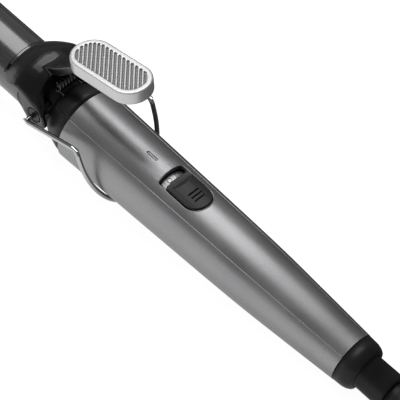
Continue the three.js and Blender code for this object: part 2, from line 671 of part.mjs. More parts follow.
// A flat two-pin plug lying on the hank, its pins towards +X.
function plug(rearX, centreZ) {
  const half = 6.7;
  const shape = new THREE.Shape();
  shape.moveTo(0, -4.5);
  shape.quadraticCurveTo(9, -5, 14, -13);
  shape.quadraticCurveTo(16, -17, 21, -17);
  shape.lineTo(33, -17);
  shape.quadraticCurveTo(35, -17, 35, -15);
  shape.lineTo(35, 15);
  shape.quadraticCurveTo(35, 17, 33, 17);
  shape.lineTo(21, 17);
  shape.quadraticCurveTo(16, 17, 14, 13);
  shape.quadraticCurveTo(9, 5, 0, 4.5);
  const body = new THREE.ExtrudeGeometry(shape, {
    depth: 2 * half - 3, bevelThickness: 1.5, bevelSize: 1.2, bevelOffset: -1.2, bevelSegments: 2,
    curveSegments: 6,
  });
  const holes = [1, -1].map((side) => disc(28, 36, 2.3, 16).translate([rearX, side * 9.3, centreZ]));
  const pins = [['right', 1], ['left', -1]].map(([name, side]) => {
    const pin = turned([[28.3, 0], [28.3, 2], [52.6, 2], [54, 1.2], [54, 0]], 16);
    return piece(`plug_pin_${name}`, moved(pin, rearX, side * 9.3, centreZ), BRASS);
  });
  const shell = solid(body.translate(rearX, 0, centreZ - half + 1.5)).subtract(joined(...holes));
  return [piece('plug_body', shell, SATIN_BLACK), ...pins];
}

const model = new THREE.Group();
const iron = restingIron();
const exit = iron.localToWorld(spot(SLEEVE_REAR, 0, 0));
model.add(iron, strainRelief(exit), ...leadPieces(exit));

export default model;
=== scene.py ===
import json
import math

import bmesh
import bpy
from mathutils import Matrix, Vector
from mathutils.bvhtree import BVHTree

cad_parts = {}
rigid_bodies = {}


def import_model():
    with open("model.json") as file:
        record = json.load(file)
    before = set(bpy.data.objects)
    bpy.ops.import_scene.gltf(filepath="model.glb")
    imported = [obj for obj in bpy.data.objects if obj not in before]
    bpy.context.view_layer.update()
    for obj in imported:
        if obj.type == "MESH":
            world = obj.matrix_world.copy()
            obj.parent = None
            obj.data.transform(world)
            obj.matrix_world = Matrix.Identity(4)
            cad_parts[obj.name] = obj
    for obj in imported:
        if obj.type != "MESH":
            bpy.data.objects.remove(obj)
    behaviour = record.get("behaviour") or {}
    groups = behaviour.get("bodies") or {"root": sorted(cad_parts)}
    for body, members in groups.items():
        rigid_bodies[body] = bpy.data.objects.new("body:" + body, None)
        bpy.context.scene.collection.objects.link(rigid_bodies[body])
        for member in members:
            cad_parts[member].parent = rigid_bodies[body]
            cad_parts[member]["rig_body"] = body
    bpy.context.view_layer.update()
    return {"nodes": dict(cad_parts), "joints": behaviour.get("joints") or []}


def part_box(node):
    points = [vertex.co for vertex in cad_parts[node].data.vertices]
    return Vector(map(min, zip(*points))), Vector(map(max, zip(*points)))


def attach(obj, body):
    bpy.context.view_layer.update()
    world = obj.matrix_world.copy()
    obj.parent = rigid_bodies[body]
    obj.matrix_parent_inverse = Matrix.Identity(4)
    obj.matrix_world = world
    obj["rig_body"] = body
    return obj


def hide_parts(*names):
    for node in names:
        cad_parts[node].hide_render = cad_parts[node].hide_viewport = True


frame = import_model()

MM = 0.001
NODES = frame["nodes"]
JOINTS = {joint["name"]: joint for joint in frame["joints"]}

# ---- The iron's own axes: x along the handle, z up out of its top, millimetres -------------

HINGE_X, HINGE_Z = -15, 6.5
SLEEVE_REAR = 173.9
slide_axis = Vector(JOINTS["switch_slide"]["axis"])
ALONG = -slide_axis
ACROSS = Vector((0, 1, 0))
UP = ALONG.cross(ACROSS)
ORIGIN = Vector(JOINTS["clip_hinge"]["pos_m"]) - (ALONG * HINGE_X + UP * HINGE_Z) * MM


def turn(x, y, z):
    """A direction in the iron's own axes, turned into the frame's."""
    return ALONG * x + ACROSS * y + UP * z


def place(x, y, z):
    """A point in the iron's own axes and millimetres, in the frame's metres."""
    return ORIGIN + turn(x, y, z) * MM


EXIT = place(SLEEVE_REAR, 0, 0)

# ---- Camera --------------------------------------------------------------------------------


def make_camera():
    """A long lens over the rear of the handle, on its -Y side."""
    camera = bpy.data.cameras.new("camera")
    camera.sensor_width = 36
    camera.lens = 147.17
    camera.clip_start, camera.clip_end = 0.05, 20
    right, down = turn(0.70230, 0.70569, 0.09211), turn(0.61544, -0.53716, -0.57702)
    ahead = turn(-0.35769, 0.46191, -0.81158)
    look = bpy.data.objects.new("camera", camera)
    bpy.context.collection.objects.link(look)
    axes = Matrix((right, -down, -ahead)).transposed().to_4x4()
    look.matrix_world = Matrix.Translation(place(302.58, -305.42, 551.37)) @ axes
    bpy.context.scene.camera = look


make_camera()

# ---- Materials -----------------------------------------------------------------------------


class Value:
    """A number socket whose arithmetic adds Math nodes."""

    def __init__(self, shader, socket):
        self.shader, self.socket = shader, socket

    def combine(self, operation, first, second=None):
        inputs = [getattr(v, "socket", v) for v in (first, second) if v is not None]
        node = self.shader.node("ShaderNodeMath", {"operation": operation}, dict(enumerate(inputs)))
        return Value(self.shader, node.outputs[0])

    def __add__(self, other):
        return self.combine("ADD", self, other)

    def __radd__(self, other):
        return self.combine("ADD", other, self)

    def __sub__(self, other):
        return self.combine("SUBTRACT", self, other)

    def __rsub__(self, other):
        return self.combine("SUBTRACT", other, self)

    def __mul__(self, other):
        return self.combine("MULTIPLY", self, other)

    def __rmul__(self, other):
        return self.combine("MULTIPLY", other, self)


class NodeMaker:
    """Adds nodes to one tree, each from its type, its settings and its sockets' values or links."""

    def __init__(self, tree):
        self.tree = tree

    def node(self, kind, settings=None, inputs=None):
        """One node: its settings come first, then what its sockets hold or are linked to."""
        made = self.tree.nodes.new(kind)
        for key, value in (settings or {}).items():
            if key == "stops":
                self.set_stops(made.color_ramp, value)
            else:
                setattr(made, key, value)
        for key, value in (inputs or {}).items():
            value = getattr(value, "socket", value)
            if isinstance(value, bpy.types.NodeSocket):
                self.tree.links.new(value, made.inputs[key])
            else:
                made.inputs[key].default_value = value
        return made

    def set_stops(self, ramp, stops):
        while len(ramp.elements) < len(stops):
            ramp.elements.new(0.5)
        for element, (position, color) in zip(ramp.elements, stops):
            element.position = position
            element.color = (*color, 1)

    def ramp(self, value, stops):
        """A colour that runs through the stops, each a position and a colour."""
        return self.node("ShaderNodeValToRGB", {"stops": stops}, {"Fac": value}).outputs["Color"]

    def spread(self, value, low, high, to_low, to_high):
        """A value's range from low to high, spread over another range and held within it."""
        made = self.node("ShaderNodeMapRange", {"clamp": True}, {
            "Value": value, "From Min": low, "From Max": high, "To Min": to_low, "To Max": to_high})
        return Value(self, made.outputs["Result"])


class Shader(NodeMaker):
    """One material's node tree, built around a Principled shader."""

    def __init__(self, name, **constants):
        self.material = bpy.data.materials.new(name)
        self.material.use_nodes = True
        super().__init__(self.material.node_tree)
        self.surface = self.tree.nodes["Principled BSDF"]
        for socket, value in constants.items():
            self.surface.inputs[socket.replace("_", " ")].default_value = value

    def feed(self, socket, source):
        self.tree.links.new(getattr(source, "socket", source), self.surface.inputs[socket])

    def place(self, stretch=(1, 1, 1)):
        """Object coordinates in millimetres, stretched along each axis."""
        where = self.node("ShaderNodeTexCoord").outputs["Object"]
        sizes = tuple(1000 * part for part in stretch)
        return self.node("ShaderNodeMapping", {}, {"Vector": where, "Scale": sizes}).outputs[0]

    def noise(self, scale, detail=3, stretch=(1, 1, 1), roughness=0.55):
        made = self.node("ShaderNodeTexNoise", {}, {
            "Vector": self.place(stretch), "Scale": scale, "Detail": detail,
            "Roughness": roughness})
        return Value(self, made.outputs["Fac"])

    def bump(self, height, depth_mm, strength=1.0):
        made = self.node("ShaderNodeBump", {}, {
            "Height": height, "Distance": depth_mm * MM, "Strength": strength})
        self.feed("Normal", made.outputs["Normal"])


def shade(value):
    """A neutral grey."""
    return (value, value, value)


GROOVE_SHADE = "groove"                  # how deep a point of the thumb pad lies between its ribs, 0 to 1; the pad's colour is darkened by it as painted shade


def metallic_lacquer():
    """Satin silver lacquer: fine flakes under a clear coat, with faint clouds and wear marks."""
    s = Shader("silver_lacquer", Metallic=1.0, Coat_Roughness=0.22)
    flakes = s.noise(9, 2)
    clouds = s.noise(0.05, 3)
    tone = flakes * 0.2 + s.noise(2.4, 2) * 0.45 + clouds * 0.35
    dark, pale = (0.16, 0.161, 0.164), (0.225, 0.226, 0.229)
    s.feed("Base Color", s.ramp(tone, [(0.34, dark), (0.66, pale)]))
    s.feed("Roughness", s.spread(clouds, 0.3, 0.7, 0.4, 0.47))
    s.feed("Coat Weight", s.spread(s.noise(0.2, 4), 0.35, 0.7, 0.12, 0.06))
    s.bump(flakes, 0.004, 0.35)
    return s.material


def polished_black():
    """Polished black plastic with faint wipe marks."""
    s = Shader("polished_black", IOR=1.5, Specular_IOR_Level=0.1, Coat_Roughness=0.24)
    smears = s.noise(0.12, 4, (1, 1, 2.2))
    s.feed("Base Color", s.ramp(smears, [(0.3, shade(0.0015)), (0.75, shade(0.003))]))
    s.feed("Roughness", s.spread(smears, 0.35, 0.75, 0.22, 0.3))
    s.feed("Coat Weight", s.spread(smears, 0.35, 0.75, 0.34, 0.24))
    s.bump(s.noise(0.6, 2), 0.002, 0.25)
    return s.material


def satin_black():
    """Fine-grained moulded black plastic."""
    s = Shader("satin_black", IOR=1.48, Specular_IOR_Level=0.16)
    grain = s.noise(7, 3)
    s.feed("Base Color", s.ramp(s.noise(0.1, 3), [(0.3, shade(0.004)), (0.7, shade(0.008))]))
    s.feed("Roughness", s.spread(grain, 0.3, 0.7, 0.34, 0.46))
    s.bump(grain, 0.012, 0.4)
    return s.material


def ceramic_coating(name, low, high, rough):
    """Smooth baked coating on metal, with fine lengthwise polishing."""
    s = Shader(name, Metallic=0.35, IOR=1.6, Coat_Roughness=0.08)
    grain = s.noise(1.6, 3, (0.06, 1, 1))
    s.feed("Base Color", s.ramp(grain, [(0.3, low), (0.7, high)]))
    s.feed("Roughness", s.spread(grain, 0.3, 0.7, rough - 0.03, rough + 0.05))
    s.feed("Coat Weight", s.spread(s.noise(0.09, 4), 0.35, 0.7, 0.5, 0.35))
    s.bump(s.noise(3, 2), 0.005, 0.3)
    return s.material


def plated(name, color, rough, spread=0.05):
    """Plated or bare metal with faint drawing marks."""
    s = Shader(name, Metallic=1.0)
    marks = s.noise(1.2, 4, (0.3, 1, 1))
    dull = tuple(0.86 * c for c in color)
    s.feed("Base Color", s.ramp(marks, [(0.25, dull), (0.7, color)]))
    s.feed("Roughness", s.spread(marks, 0.3, 0.75, rough, rough + spread))
    s.bump(s.noise(2.5, 3), 0.006, 0.25)
    return s.material


def pearl_silver():
    """Pale silver lacquer on the thumb pad, with painted shade darkening the grooves between its
    ribs.
    """
    s = Shader("pearl_silver", Metallic=0.6, Coat_Roughness=0.2)
    flakes = s.noise(8, 2)
    depth = Value(s, s.node("ShaderNodeAttribute", {"attribute_name": GROOVE_SHADE}).outputs["Fac"])
    # painted shade: the deeper a point lies between the ribs, the darker its colour
    tone = flakes * 0.15 - depth + 1
    s.feed("Base Color", s.ramp(tone, [(0.15, shade(0.1)), (0.55, shade(0.27)), (1, shade(0.36))]))
    s.feed("Roughness", s.spread(s.noise(0.25, 4), 0.3, 0.7, 0.33, 0.42))
    s.feed("Coat Weight", s.spread(flakes, 0.3, 0.7, 0.3, 0.2))
    s.bump(flakes, 0.004, 0.3)
    return s.material


def brushed_plate():
    """Silver switch plate, brushed across."""
    s = Shader("brushed_plate", Metallic=0.75)
    lines = s.noise(6, 2, (1, 0.05, 0.05))
    s.feed("Base Color", s.ramp(lines, [(0.3, shade(0.2)), (0.7, shade(0.28))]))
    s.feed("Roughness", s.spread(lines, 0.3, 0.7, 0.3, 0.4))
    s.bump(lines, 0.006, 0.4)
    return s.material


def moulded(name, low, high, rough=0.5, grain_size=6, depth=0.012, shine=0.4):
    """Plain moulded plastic, rubber or ceramic: a fine grain and slow variation of colour."""
    s = Shader(name, Specular_IOR_Level=shine)
    grain = s.noise(grain_size, 3)
    tone = s.noise(0.12, 3) * 0.7 + grain * 0.3
    s.feed("Base Color", s.ramp(tone, [(0.3, low), (0.7, high)]))
    s.feed("Roughness", s.spread(grain, 0.3, 0.7, rough - 0.05, rough + 0.07))
    s.bump(grain, depth, 0.45)
    return s.material


def board_green():
    """Green circuit board with copper tracks under the mask."""
    s = Shader("board_green")
    tracks = s.node("ShaderNodeTexBrick", {}, {
        "Vector": s.place(), "Scale": 0.3, "Mortar Size": 0.06,
        "Color1": (0.02, 0.1, 0.04, 1), "Color2": (0.02, 0.09, 0.035, 1),
        "Mortar": (0.06, 0.2, 0.07, 1)})
    s.feed("Base Color", tracks.outputs["Color"])
    s.feed("Roughness", s.spread(s.noise(1, 3), 0.3, 0.7, 0.35, 0.5))
    s.bump(Value(s, tracks.outputs["Fac"]), 0.03, 0.5)
    return s.material


def lens_glass():
    """The light guide: smoky clear plastic with the lamp off."""
    s = Shader("smoky_lens", IOR=1.5, Transmission_Weight=0.35)
    s.feed("Base Color", s.ramp(s.noise(1, 2), [(0.3, shade(0.16)), (0.7, shade(0.22))]))
    s.feed("Roughness", s.spread(s.noise(2, 2), 0.3, 0.7, 0.18, 0.26))
    return s.material


def woven_tape():
    """Hook-and-loop tape: a fine weave under short loops."""
    s = Shader("woven_tape", Sheen_Weight=0.3)
    weave = s.node("ShaderNodeTexWave", {"wave_type": "BANDS", "bands_direction": "Y"}, {
        "Vector": s.place(), "Scale": 0.55, "Distortion": 0.6})
    rows = Value(s, weave.outputs["Fac"]) * 0.5 + s.noise(3.5, 3) * 0.5
    s.feed("Base Color", s.ramp(rows, [(0.3, shade(0.008)), (0.75, shade(0.026))]))
    s.feed("Roughness", s.spread(rows, 0.3, 0.7, 0.8, 0.92))
    s.bump(rows, 0.12, 0.8)
    return s.material


FINISH = {
    "silver": metallic_lacquer(),
    "gloss": polished_black(),
    "satin": satin_black(),
    "barrel": ceramic_coating("barrel_coating", (0.016, 0.016, 0.018), (0.024, 0.024, 0.026), 0.2),
    "clip": ceramic_coating("clip_coating", (0.02, 0.02, 0.022), (0.03, 0.03, 0.032), 0.24),
    "chrome": plated("chrome", (0.29, 0.29, 0.295), 0.08),
    "spring": plated("spring_steel", (0.07, 0.07, 0.072), 0.2, 0.1),
    "steel": plated("plain_steel", (0.56, 0.56, 0.57), 0.28, 0.12),
    "aluminium": plated("plain_aluminium", (0.62, 0.62, 0.64), 0.34, 0.14),
    "brass": plated("brass", (0.62, 0.46, 0.21), 0.26, 0.12),
    "pearl": pearl_silver(),
    "plate": brushed_plate(),
    "grey": moulded("dark_grey_plastic", shade(0.006), shade(0.012), 0.42, 6, 0.012, 0.2),
    "marks": moulded("printed_mark", shade(0.008), shade(0.014), 0.6, 6, 0.01, 0.1),
    "rubber": moulded("cord_rubber", shade(0.005), shade(0.01), 0.5, 3.5, 0.03, 0.2),
    "plug": moulded("plug_rubber", shade(0.006), shade(0.012), 0.5, 4, 0.03, 0.25),
    "ceramic": moulded("white_ceramic", (0.62, 0.6, 0.55), (0.72, 0.69, 0.63), 0.6),
    "capacitor": moulded("capacitor_sleeve", shade(0.03), shade(0.05), 0.4),
    "sleeving": moulded("woven_sleeving", (0.5, 0.48, 0.42), (0.66, 0.63, 0.56), 0.75, 5, 0.05),
    "board": board_green(),
    "lens": lens_glass(),
    "tape": woven_tape(),
}

NODE_FINISH = {                    # the nodes that keep their CAD mesh
    "satin": ["switch_body"],
    "steel": ["shell_screw_front", "shell_screw_rear"],
    "aluminium": ["heater_clamp_upper", "heater_clamp_lower"],
    "brass": ["swivel_retainer", "plug_pin_right", "plug_pin_left"],
    "plate": ["switch_label_plate"],
    "ceramic": ["heater_element", "thermal_fuse"],
    "sleeving": ["heater_lead_live", "heater_lead_neutral",
                 "mains_lead_live", "mains_lead_neutral"],
    "capacitor": ["smoothing_capacitor"],
    "board": ["circuit_board"],
    "lens": ["light_guide", "indicator_lamp"],
}

SMOOTH_BELOW = math.radians(28)    # a mesh shades smoothly across edges less sharp than this:
BAR_SMOOTH = math.radians(50)      # on bars and cords,
SOFT_SMOOTH = math.radians(60)     # and on mouldings with rounded edges
MERGE_WITHIN = 1e-7                # metres


def dress(mesh, material, smooth_below=SMOOTH_BELOW):
    """Gives a mesh its material, with curved faces shaded smooth and real edges kept sharp."""
    mesh.materials.clear()
    mesh.materials.append(material)
    mesh.polygons.foreach_set("use_smooth", [True] * len(mesh.polygons))
    mesh.set_sharp_from_angle(angle=smooth_below)


for finish, names in NODE_FINISH.items():
    for name in names:
        dress(NODES[name].data, FINISH[finish])

# ---- Building pieces -----------------------------------------------------------------------


def add_object(name, data):
    """A new object, put in the scene."""
    made = bpy.data.objects.new(name, data)
    bpy.context.collection.objects.link(made)
    return made


def settle(work, name, material, smooth_below=SMOOTH_BELOW):
    """A plain finished mesh object from one with modifiers, which is removed."""
    bpy.context.view_layer.update()
    graph = bpy.context.evaluated_depsgraph_get()
    mesh = bpy.data.meshes.new_from_object(work.evaluated_get(graph))
    mesh.name = name
    bpy.data.objects.remove(work)
    dress(mesh, material, smooth_below)
    return add_object(name, mesh)


def merged_copy(node):
    """A copy of a CAD node's mesh with its loose triangles joined."""
    mesh = NODES[node].data.copy()
    shape = bmesh.new()
    shape.from_mesh(mesh)
    bmesh.ops.remove_doubles(shape, verts=shape.verts, dist=MERGE_WITHIN)
    shape.to_mesh(mesh)
    shape.free()
    return add_object(f"{node}_work", mesh)


def rounded(node, name, voxel, rounds, material):
    """A node's shape with its edges and inside corners rounded over, as a moulding has them."""
    work = merged_copy(node)
    remesh = work.modifiers.new("remesh", "REMESH")
    remesh.mode, remesh.voxel_size, remesh.adaptivity = "VOXEL", voxel * MM, 0
    smooth = work.modifiers.new("smooth", "SMOOTH")
    smooth.factor, smooth.iterations = 0.5, rounds
    return settle(work, name, material, SOFT_SMOOTH)


def sweep_tree(name, material):
    """Geometry Nodes that sweep a round section along a curve, with closed ends."""
    tree = bpy.data.node_groups.new(name, "GeometryNodeTree")
    face = tree.interface
    face.new_socket("Path", in_out="INPUT", socket_type="NodeSocketGeometry")
    for label, kind in (("Radius", "NodeSocketFloat"), ("Sides", "NodeSocketInt")):
        face.new_socket(label, in_out="INPUT", socket_type=kind)
    face.new_socket("Bar", in_out="OUTPUT", socket_type="NodeSocketGeometry")
    nodes, link = tree.nodes, tree.links.new
    start, end = nodes.new("NodeGroupInput"), nodes.new("NodeGroupOutput")
    ring = nodes.new("GeometryNodeCurvePrimitiveCircle")
    sweep = nodes.new("GeometryNodeCurveToMesh")
    real, paint = nodes.new("GeometryNodeRealizeInstances"), nodes.new("GeometryNodeSetMaterial")
    sweep.inputs["Fill Caps"].default_value = True
    paint.inputs["Material"].default_value = material
    link(start.outputs["Radius"], ring.inputs["Radius"])
    link(start.outputs["Sides"], ring.inputs["Resolution"])
    link(start.outputs["Path"], sweep.inputs["Curve"])
    link(ring.outputs["Curve"], sweep.inputs["Profile Curve"])
    link(sweep.outputs["Mesh"], real.inputs["Geometry"])
    link(real.outputs["Geometry"], paint.inputs["Geometry"])
    link(paint.outputs["Geometry"], end.inputs["Bar"])
    return tree


def set_inputs(modifier, **values):
    """Sets a Geometry Nodes modifier's inputs by their sockets' identifiers."""
    for item in modifier.node_group.interface.items_tree:
        label = item.name.replace(" ", "_").lower()
        if item.in_out == "INPUT" and label in values:
            modifier[item.identifier] = values[label]


def curve_object(name, lines):
    """Open poly lines as one curve object."""
    curve = bpy.data.curves.new(name, "CURVE")
    curve.dimensions = "3D"
    for points in lines:
        spline = curve.splines.new("POLY")
        spline.points.add(len(points) - 1)
        for slot, point in zip(spline.points, points):
            slot.co = (*point, 1)
    return add_object(name, curve)


def swept(name, lines, radius, material, sides=16):
    """Round bars along lines of points in metres."""
    work = curve_object(f"{name}_path", lines)
    modifier = work.modifiers.new("sweep", "NODES")
    modifier.node_group = sweep_tree(f"{name}_sweep", material)
    set_inputs(modifier, radius=radius, sides=sides)
    return settle(work, name, material, BAR_SMOOTH)


def smooth_line(points, step):
    """A Catmull-Rom curve through the points, with a point about every step metres."""
    knots = [Vector(p) for p in points]
    knots = [2 * knots[0] - knots[1], *knots, 2 * knots[-1] - knots[-2]]
    line = []
    for a, b, c, d in zip(knots, knots[1:], knots[2:], knots[3:]):
        count = max(1, round((c - b).length / step))
        for i in range(count):
            t = i / count
            line.append(0.5 * (2 * b + (c - a) * t + (2 * a - 5 * b + 4 * c - d) * t ** 2
                               + (3 * b - a - 3 * c + d) * t ** 3))
    return line + [knots[-2]]


# ---- Cord, its strain relief, the hank and the plug ----------------------------------------

CORD_D = 6
CORD_R = CORD_D / 2
HANK_X = EXIT.x / MM + 132         # the hank's middle, along the frame's x
HANK_STRAIGHT = 33                 # half of a straight run
HANK_LAYERS = [4.3, 10.3, 16.3]    # heights of the cord's middle
HANK_TOP = 19.3                    # height that the tail is given from
OUTER_RUN, INNER_RUN = 24, 18      # the runs' distances from the hank's centre line
SHIFT = 56                         # length over which a turn moves to the next place in the hank
SHIFT_STEP = 15                    # each turn moves that much earlier than the turn before
RELIEF = [                         # the sleeve's points from the exit, and its radius at each
    [-12, 0, 0.9, 4.5], [-0.7, 0, 0.05, 4.5], [-0.5, 0, 0.04, 5.1], [0.4, 0, -0.03, 5.4],
    [2.5, -0.1, -0.3, 6.2], [6, -0.6, -0.6, 6.1], [12, -2, -1.2, 5.5], [19, -4.8, -2.1, 5],
    [26, -8.5, -3.2, 4.6], [33, -12.9, -4.2, 4.2], [39, -16.9, -5, 3.9],
]
LEAD = [                           # the cord from the sleeve to the hank, from the exit
    [44, -19.9, -5.6], [50, -22.3, -6.2], [58, -23.8, -6.5], [67, -24, -6.3], [76, -24, -5.6],
    [92, -24, -5.5],
]
TAIL = [                           # the cord's last run to the plug, from the hank's top middle
    [-38.6, -17, 3.4], [-31, -17.6, 3.5], [-22, -15.6, 3.8], [-12, -10.6, 4.6], [-3, -5, 5.4],
    [5, -1.4, 6.2], [11, -0.2, 6.8], [16.6, 0, 7],
]


def from_exit(points):
    """Points given in millimetres from the exit, in the frame's metres."""
    return [EXIT + Vector(p[:3]) * MM for p in points]


def eased(value):
    """A share from 0 to 1 that starts and ends gently."""
    value = min(1.0, max(0.0, value))
    return value * value * (3 - 2 * value)


def hank_point(distance, width, height):
    """A point of the flat oval, counted from the start of its -Y run, in millimetres."""
    bend = math.pi * width
    run = 2 * HANK_STRAIGHT
    if distance < run:
        return (HANK_X - HANK_STRAIGHT + distance, -width, height)
    if distance < run + bend:
        angle = (distance - run) / width - math.pi / 2
        return (HANK_X + HANK_STRAIGHT + width * math.cos(angle), width * math.sin(angle), height)
    if distance < 2 * run + bend:
        return (HANK_X + HANK_STRAIGHT - (distance - run - bend), width, height)
    angle = (distance - 2 * run - bend) / width + math.pi / 2
    return (HANK_X - HANK_STRAIGHT + width * math.cos(angle), width * math.sin(angle), height)


def hank_turns():
    """Six turns, outer and inner, layer on layer. Each moves to the next place late in its loop."""
    low, middle, high = HANK_LAYERS
    steps, last_part = 84, 0.96
    places = [(OUTER_RUN, low), (INNER_RUN, low), (INNER_RUN, middle), (OUTER_RUN, middle),
              (OUTER_RUN, high), (INNER_RUN, high), (INNER_RUN, HANK_TOP + 3.4)]
    line = []
    pairs = zip(places, places[1:])
    for turn_number, ((width, height), (next_width, next_height)) in enumerate(pairs):
        whole = 4 * HANK_STRAIGHT + 2 * math.pi * width
        end = whole - SHIFT_STEP * turn_number
        last = turn_number == len(places) - 2
        for i in range(round(steps * last_part) if last else steps):
            part = i / steps
            share = eased((part * whole - (end - SHIFT)) / SHIFT)
            now = width + (next_width - width) * share
            around = part * (4 * HANK_STRAIGHT + 2 * math.pi * now)
            level = height + (next_height - height) * share
            line.append(Vector(hank_point(around, now, level)) * MM)
    return line


def cord_line():
    """The cord's whole route: out of the exit, round the hank, and back to the plug."""
    step = 2.5 * MM
    start = smooth_line([*from_exit(RELIEF[3:]), *from_exit(LEAD)], step)
    turns = hank_turns()
    tail = [Vector((HANK_X + x, y, HANK_TOP + z)) * MM for x, y, z in TAIL]
    end = smooth_line([turns[-2], turns[-1], *tail], step)
    return start + turns[1:-2] + end


def line_length(points):
    """The length of a line of points."""
    return sum((b - a).length for a, b in zip(points, points[1:]))


def relief_sleeve():
    """The strain relief: a tapering rubber sleeve with round ribs and flexing gaps between them."""
    line = smooth_line(from_exit(RELIEF), 0.35 * MM)
    stations = [0.0]
    for a, b in zip(line, line[1:]):
        stations.append(stations[-1] + (b - a).length / MM)
    knots = [0.0]
    for a, b in zip(RELIEF, RELIEF[1:]):
        knots.append(knots[-1] + (Vector(b[:3]) - Vector(a[:3])).length)
    ribs_from, ribs_to, pitch, groove_depth = 19.5, 53, 3.2, 0.75
    shape, sides, rings = bmesh.new(), 40, []
    for i, (point, along) in enumerate(zip(line, stations)):
        ahead = (line[min(i + 1, len(line) - 1)] - line[max(i - 1, 0)]).normalized()
        right = ahead.cross(Vector((0, 0, 1))).normalized()
        up = right.cross(ahead)
        section = max(k for k, v in enumerate(knots) if v <= along + 1e-6)
        after = min(section + 1, len(knots) - 1)
        span = max(knots[after] - knots[section], 1e-6)
        share = min(1, (along - knots[section]) / span)
        radius = RELIEF[section][3] + (RELIEF[after][3] - RELIEF[section][3]) * share
        if ribs_from < along < ribs_to:
            groove = 0.5 - 0.5 * math.cos(2 * math.pi * (along - ribs_from) / pitch)
            radius -= groove_depth * groove ** 3
        spokes = [right * math.cos(a) + up * math.sin(a)
                  for a in (2 * math.pi * k / sides for k in range(sides))]
        rings.append([shape.verts.new(point + spoke * radius * MM) for spoke in spokes])
    for first, second in zip(rings, rings[1:]):
        for k in range(sides):
            after = (k + 1) % sides
            shape.faces.new((first[k], first[after], second[after], second[k]))
    shape.faces.new(list(reversed(rings[0])))
    shape.faces.new(rings[-1])
    bmesh.ops.recalc_face_normals(shape, faces=shape.faces)
    mesh = bpy.data.meshes.new("strain_relief_sleeve")
    shape.to_mesh(mesh)
    shape.free()
    dress(mesh, FINISH["rubber"], BAR_SMOOTH)
    return add_object("strain_relief_sleeve", mesh)


def hank_tie():
    """A hook-and-loop strap round the hank, with its end lapped over the top."""
    low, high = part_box("hank_strap")
    half_x, half_y = (high.x - low.x) / 2, (high.y - low.y) / 2
    middle_z, half_z = (low.z + high.z) / 2, (high.z - low.z) / 2
    centre_x, thick, corner = (low.x + high.x) / 2, 0.9 * MM, 7 * MM
    shape, parts = bmesh.new(), 8

    def outline(inset):
        """The strap's section: a box with round corners, inset all round."""
        points, radius = [], corner - inset
        for k, (sy, sz) in enumerate(((1, -1), (1, 1), (-1, 1), (-1, -1))):
            for i in range(parts + 1):
                angle = (k - 1 + i / parts) * math.pi / 2
                y = sy * (half_y - corner) + radius * math.cos(angle)
                z = middle_z + sz * (half_z - corner) + radius * math.sin(angle)
                points.append((y, z))
        return points

    def band(points_out, points_in, x0, x1, closed=True):
        """A strip between two outlines, from x0 to x1."""
        rows = [[shape.verts.new((x, y, z)) for y, z in ring]
                for ring in (points_out, points_in) for x in (x0, x1)]
        out_a, out_b, in_a, in_b = rows
        count = len(points_out)
        for k in range(count if closed else count - 1):
            n = (k + 1) % count
            shape.faces.new((out_a[k], out_a[n], out_b[n], out_b[k]))
            shape.faces.new((in_a[k], in_b[k], in_b[n], in_a[n]))
            shape.faces.new((out_a[k], in_a[k], in_a[n], out_a[n]))
            shape.faces.new((out_b[k], out_b[n], in_b[n], in_b[k]))
        if not closed:
            for k in (0, count - 1):
                shape.faces.new((out_a[k], out_b[k], in_b[k], in_a[k]))

    band(outline(0), outline(thick), centre_x - half_x, centre_x + half_x)
    flap_gap, flap_thick = 0.15 * MM, 1.0 * MM
    flap = [(y * MM, high.z + flap_gap) for y in (-14, -4, 6, 15)]
    band([(y, z + flap_thick) for y, z in flap], flap, centre_x - half_x, centre_x + half_x, False)
    bmesh.ops.recalc_face_normals(shape, faces=shape.faces)
    work = bpy.data.meshes.new("hank_tie")
    shape.to_mesh(work)
    shape.free()
    holder = add_object("hank_tie_work", work)
    edge = holder.modifiers.new("edge", "BEVEL")
    edge.width, edge.segments, edge.limit_method = 0.25 * MM, 2, "ANGLE"
    return settle(holder, "hank_tie", FINISH["tape"])


def make_lead():
    """The cord and what is on it."""
    line = cord_line()
    cord = swept("mains_cord", [line], CORD_R * MM, FINISH["rubber"], 20)
    relief, tie = relief_sleeve(), hank_tie()
    plug = rounded("plug_body", "plug_moulding", 0.45, 6, FINISH["plug"])
    for piece, nodes, slot in (
        (cord, ("power_cord", "cord_hank", "cord_tail"), "rubber"),
        (relief, ("strain_relief",), "rubber"),
        (tie, ("hank_strap",), "dark_grey"),
        (plug, ("plug_body",), "satin_black"),
    ):
        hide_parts(*nodes)
        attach(piece, "iron")
    round(line_length(line), 3)


make_lead()

# ---- Shells, collars, caps and tubes -------------------------------------------------------

TURNED = [                         # node, finished piece, finish, slot
    ("handle_upper_shell", "lacquered_upper_shell", "silver", "silver_lacquer"),
    ("handle_lower_shell", "lacquered_lower_shell", "silver", "silver_lacquer"),
    ("front_collar_upper", "moulded_collar_upper", "grey", "satin_black"),
    ("front_collar_lower", "moulded_collar_lower", "grey", "satin_black"),
    ("barrel_neck", "moulded_neck", "satin", "satin_black"),
    ("barrel_tip", "moulded_cool_tip", "satin", "satin_black"),
    ("rear_cap", "moulded_rear_cap", "satin", "satin_black"),
    ("swivel_sleeve", "moulded_swivel_sleeve", "satin", "satin_black"),
    ("barrel_tube", "coated_tube", "barrel", "coated_barrel"),
    ("clip", "coated_clip", "clip", "coated_barrel"),
    ("hinge_pin_right", "pin_cap_right", "satin", "satin_black"),
    ("hinge_pin_left", "pin_cap_left", "satin", "satin_black"),
]


